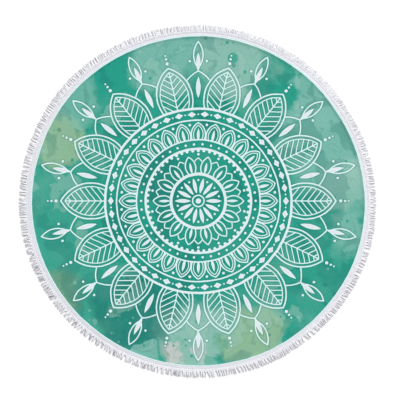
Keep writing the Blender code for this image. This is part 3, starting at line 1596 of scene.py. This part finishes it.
@dataclass
class FringeTrim:
    """The header tape with its ribs, and the yarns that hang from it in uneven bundles.

    The yarns are shorter at two sides, spread out at the sunny one, gathered at the shady one, where painted
    shade darkens their under yarns most, and combed to one side at another. Ways are in degrees from +X
    towards +Y.
    """

    cloth: PrintedCloth
    tape_finish: WovenTape
    rib_finish: TwistedYarn
    yarn_finish: TwistedYarn
    tape_showing: float = 0.010
    tape_thickness: float = 0.0010
    tape_bottom: float = 0.0002
    tape_steps: int = 600
    rib_pitch: float = 0.0026
    rib_tucked: float = 0.0040
    rib_short: float = 0.0010
    rib_lift: float = 0.0018
    rib_rise: float = 0.0003
    rib_width: float = 1.30
    rib_flatten: float = 0.90
    rib_uneven_deg: float = 2.0
    bundles: int = 300
    yarns_in_bundle: int = 5
    yarn_points: int = 7
    yarn_thickness: float = 0.0033
    yarn_length: float = 0.0292
    root_inset: float = 0.0065
    root_height: float = 0.0030
    drift_patches: Patches = Patches(40.0, 2.0)
    loose_patches: Patches = Patches(12.0, 5.0)
    lean_patches: Patches = Patches(14.0, 0.0)
    trimmed_deg: float = 62.0
    sunny_deg: float = 74.0
    shady_deg: float = 222.0
    combed_deg: float = 225.0

    def build_tape(self) -> bpy.types.Object:
        """Build the woven tape as a thin closed band and dress it.

        Returns:
            The piece.
        """
        rim = self.cloth.rim
        inner, outer = rim.radius - self.cloth.tape_under, rim.radius + self.tape_showing
        low, top = self.tape_bottom, self.tape_thickness
        section = [(inner, low), (inner, top), ((inner + outer) / 2, top), (outer, top), (outer, low)]
        count = len(section)
        points, faces = [], []
        for step in range(self.tape_steps):
            turn = math.tau * step / self.tape_steps
            points += [rim.point(radius, turn, height) for radius, height in section]
            here, there = step * count, (step + 1) % self.tape_steps * count
            for i in range(count):
                j = (i + 1) % count
                faces.append((here + i, here + j, there + j, there + i))
        mesh = bpy.data.meshes.new("header_tape")
        mesh.from_pydata(points, [], faces)
        piece = link_object("header_tape", mesh)
        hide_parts("fringe")
        return dress(piece, self.tape_finish.material(), Slot.FRINGE_YARN)

    def build_ribs(self) -> bpy.types.Object:
        """Build the close ribs that cross the tape from under the hem almost to its outer edge.

        Returns:
            The piece.
        """
        reach = self.tape_showing - self.rib_short
        row = CordRow(
            "tape_ribs",
            inset=(self.rib_tucked - reach) / 2,
            height=self.tape_thickness + self.rib_lift,
            spacing=self.rib_pitch,
            length=reach + self.rib_tucked,
            thickness=self.rib_pitch * self.rib_width,
            rise=self.rib_rise,
            turn_deg=0.0,
            uneven_deg=self.rib_uneven_deg,
            flatten=self.rib_flatten,
        )
        return row.build(self.cloth, self.rib_finish.material())

    def _yarn_inputs(self, material: bpy.types.Material) -> dict[str, Any]:
        """Work out the inputs of the yarns' tree.

        Args:
            material: The yarns' finish.

        Returns:
            Lengths and thicknesses in metres, turns in radians, and shares and factors, by name.
        """
        return {
            "Yarns": self.bundles * self.yarns_in_bundle,
            "Per bundle": self.yarns_in_bundle,
            "Bundle pitch": math.tau * (self.cloth.rim.radius + self.tape_showing) / self.bundles,
            "Bundle drift": 3.0,
            "Length": self.yarn_length,
            "Shortest": 0.86,
            "Longest": 1.06,
            "Trimmed": 0.11,
            "Thickness": self.yarn_thickness,
            "Thinnest": 0.86,
            "Thickest": 1.12,
            "Root width": 0.5,
            "Root widening": 5.0,
            "Tip narrowing": 0.35,
            "Looseness": 0.78,
            "Tightening": 0.16,
            "Twist": 2.4,
            "Drawing in": 3.4,
            "Drawn from": 0.18,
            "Least gathered": 0.40,
            "Most gathered": 1.30,
            "Sunny swing": 0.80,
            "Sunny level": 0.10,
            "Shady narrowing": 4.0,
            "Spread": 0.85,
            "Patchiness": 0.45,
            "Patch level": 0.42,
            "Patch crispness": 3.0,
            "Group lean": 0.0240,
            "Own lean": 0.0026,
            "Combed lean": 0.00198,
            "Lean curve": 1.3,
            "Stray": 0.0008,
            "Waves": 5.0,
            "Sway": 0.0006,
            "Piling": 0.25,
            "Piling growth": 1.8,
            "Sink": 0.0020,
            "Tip fall": 0.0018,
            "Tip lift": 0.0007,
            "Lowest": -0.0013,
            "Bundle tone": 0.35,
            "Painted under shade": 1.2,
            "Shady side painted shade": 2.2,
            "Seed": 21,
            "Material": material,
        }

    def build_yarns(self) -> bpy.types.Object:
        """Build the cut yarns: bundles that lean together, each yarn with its own bend and droop.

        Returns:
            The piece.
        """
        rim = self.cloth.rim
        material = self.yarn_finish.material()
        graph = GeometryGraph("fringe_yarns", self._yarn_inputs(material))
        given, order, heading = graph.given, graph.order(), graph.heading()
        trimmed = facing(heading * 2.0, self.trimmed_deg * 2.0).held() * given("Trimmed")
        own_length = self._chance(graph, Draw.LENGTH, order, given("Shortest"), given("Longest"))
        strand = graph.line(0.0, given("Length"), self.yarn_points)
        laid = graph.laid_round(strand, given("Yarns"), heading, own_length * (1.0 - trimmed))
        numbered = graph.store(laid, "order", order, Domain.INSTANCE)
        headed = graph.store(numbered, "heading", heading, Domain.INSTANCE)
        bent = self._bend(graph, graph.realized(headed))
        share = graph.share()
        owner = graph.stored("order")
        plump = self._chance(graph, Draw.PLUMPNESS, owner, given("Thinnest"), given("Thickest"))
        root = (share * given("Root widening") + given("Root width")).least(1.0)
        taper = (1.0 - (share - 0.5).held() * given("Tip narrowing")) * root
        graph.result(graph.cord(bent, given("Thickness"), plump * taper), given("Material"))
        start = rim.radius + self.tape_showing - self.root_inset
        ring = rim.ring("fringe_yarns", start, lambda point, turn: self.root_height)
        return dress(graph.grow("fringe_yarns", ring), material, Slot.FRINGE_YARN)

    @staticmethod
    def _chance(
        graph: GeometryGraph, draw: Draw, owner: Number, low: Scalar = -1.0, high: Scalar = 1.0
    ) -> Number:
        """Return a random number for each owner, another one for each draw."""
        return graph.random(low, high, owner, graph.given("Seed") + draw.value)

    def _bend(self, graph: GeometryGraph, strands: bpy.types.NodeSocket) -> bpy.types.NodeSocket:
        """Draw the yarns into uneven bundles, and let them lean, wave, lie over each other and fall.

        Args:
            graph: The fringe's tree.
            strands: The straight yarns, as curves.

        Returns:
            The bent yarns, with each point's tone kept on them: a random tone less painted shade on the yarns
            that lie under others, more at the shady side and less at the sunny one.
        """
        given = graph.given
        share, order, heading = graph.share(), graph.stored("order"), graph.stored("heading")
        drift = self.drift_patches.at(graph, heading) * given("Bundle drift")
        place = order / given("Per bundle") + drift
        bundle = place.floor()
        slot = (place.fract() - 0.5) * given("Bundle pitch")
        start = self._chance(graph, Draw.TWIST, bundle, 0.0, 1.0)
        phase = (place.fract() + start) * math.tau + share * given("Twist")
        loose = (given("Looseness") - share * given("Tightening")) * given("Thickness")
        sunny = facing(heading, self.sunny_deg) * given("Sunny swing") + given("Sunny level")
        shady = facing(heading, self.shady_deg).held() ** given("Shady narrowing")
        level = self.loose_patches.at(graph, heading) - given("Patch level")
        patchy = (level * given("Patch crispness")).held()
        even = patchy * (1.0 - shady) * given("Patchiness") + sunny.held() * given("Spread")
        gathered = self._chance(
            graph, Draw.GATHERING, bundle, given("Least gathered"), given("Most gathered")
        )
        drawn = (share * given("Drawing in") - given("Drawn from")).held()
        apart = drawn * gathered * (1.0 - even).held()
        lean = (self.lean_patches.at(graph, heading) - 0.5) * given("Group lean")
        lean = lean + self._chance(graph, Draw.LEAN, bundle) * given("Own lean")
        lean = lean + facing(heading, self.combed_deg).held() * given("Combed lean")
        stray = self._chance(graph, Draw.STRAY, order) * given("Stray")
        wave = share * given("Waves") + self._chance(graph, Draw.WAVE, order, 0.0, math.tau)
        sway = wave.sin() * share * given("Sway")
        across = (lean + stray) * share ** given("Lean curve") + sway + (phase.cos() * loose - slot) * apart
        under = (1.0 - phase.sin()) * 0.5 * apart
        rise = (phase.sin() + 1.0) * loose * given("Piling") * (share * given("Piling growth")).held()
        fall = under * given("Sink") + share * share * given("Tip fall") - share * sunny * given("Tip lift")
        height = (rise - fall).most(given("Lowest"))
        bent = graph.moved(strands, -heading.sin() * across, heading.cos() * across, height)
        tone = self._chance(graph, Draw.TONE, order, 0.0, 1.0)
        tone = tone + self._chance(graph, Draw.BUNDLE_TONE, bundle) * given("Bundle tone")
        # Painted shade: yarns that lie under others get a darker tone, more at the shady side and less at the
        # sunny one.
        painted_under_shade = given("Painted under shade") - sunny + shady * given("Shady side painted shade")
        return graph.store(bent, "own", tone - under * painted_under_shade)


# ---------------------------------------------------------------------------------------------- the studio


@dataclass
class Studio:
    """The pale floor, the soft light and the camera that looks straight down on the towel."""

    photo_pixels: int = 400
    mm_per_pixel: float = 4.20
    towel_left_px: float = 2.14
    towel_down_px: float = 1.30
    lens_mm: float = 70.0
    sensor_mm: float = 36.0
    floor_size: float = 30.0
    floor_drop: float = 0.0003
    key_strength: float = 3.37
    key_angle_deg: float = 34.0
    key_height_deg: float = 32.0
    key_toward_deg: float = 53.0
    fill_strength: float = 0.58

    def build_floor(self) -> None:
        """Lay the floor just under the towel."""
        half = self.floor_size / 2
        mesh = bpy.data.meshes.new("floor")
        corners = [(-half, -half), (half, -half), (half, half), (-half, half)]
        mesh.from_pydata([(x, y, -self.floor_drop) for x, y in corners], [], [(0, 1, 2, 3)])
        mesh.materials.append(PaleFloor().material())
        link_object("floor", mesh)

    def build_light(self) -> None:
        """Light the towel from a large soft lamp up and to the right, and from a white room."""
        world = bpy.data.worlds.new("white_room")
        world.use_nodes = True
        background = world.node_tree.nodes["Background"]
        background.inputs["Color"].default_value = (1.0, 1.0, 1.0, 1.0)
        background.inputs["Strength"].default_value = self.fill_strength
        bpy.context.scene.world = world
        lamp = bpy.data.lights.new("soft_key", "SUN")
        lamp.energy = self.key_strength
        lamp.angle = math.radians(self.key_angle_deg)
        key = bpy.data.objects.new("soft_key", lamp)
        tilt = math.radians(90.0 - self.key_height_deg)
        key.rotation_euler = Euler((0.0, tilt, math.radians(self.key_toward_deg)))
        bpy.context.scene.collection.objects.link(key)

    def build_camera(self) -> None:
        """Set the camera over the towel, framed as the photo is."""
        data = bpy.data.cameras.new("photo_camera")
        data.lens = self.lens_mm
        data.sensor_width = self.sensor_mm
        camera = bpy.data.objects.new("photo_camera", data)
        pixel = self.mm_per_pixel * MM
        distance = self.photo_pixels * pixel * self.lens_mm / self.sensor_mm
        camera.location = (self.towel_left_px * pixel, self.towel_down_px * pixel, distance)
        bpy.context.scene.collection.objects.link(camera)
        bpy.context.scene.camera = camera

    def build(self) -> None:
        """Build the camera, the floor and the light, and show colours as they are."""
        self.build_camera()
        self.build_floor()
        self.build_light()
        bpy.context.scene.view_settings.view_transform = "Standard"


def main() -> None:
    """Build the towel's pieces in the order in which they are sewn, then the studio."""
    logging.basicConfig(level=logging.INFO, format="%(name)s %(message)s")
    rim = Rim("cloth")
    cloth = PrintedCloth(rim, PrintedTowelling())
    disc = cloth.build()
    trim = FringeTrim(
        cloth,
        WovenTape(),
        TwistedYarn("rib_yarn", RIB_WHITE, RIB_SHADE, turns=4.0),
        TwistedYarn("fringe_yarn", YARN_WHITE, YARN_SHADE, turns=9.0, painted_shade_below=0.0036),
    )
    tape = trim.build_tape()
    ribs = trim.build_ribs()
    yarns = trim.build_yarns()
    stitches = HemStitching(cloth, TwistedYarn("sewing_thread", YARN_WHITE, YARN_SHADE, turns=2.0)).build()
    cut_radius = rim.radius + cloth.hem_width
    cut_size = (2 * cut_radius, 2 * cut_radius)
    math.pi * cut_radius**2
    math.tau * rim.radius
    Studio().build()


if __name__ == "__main__":
    main()
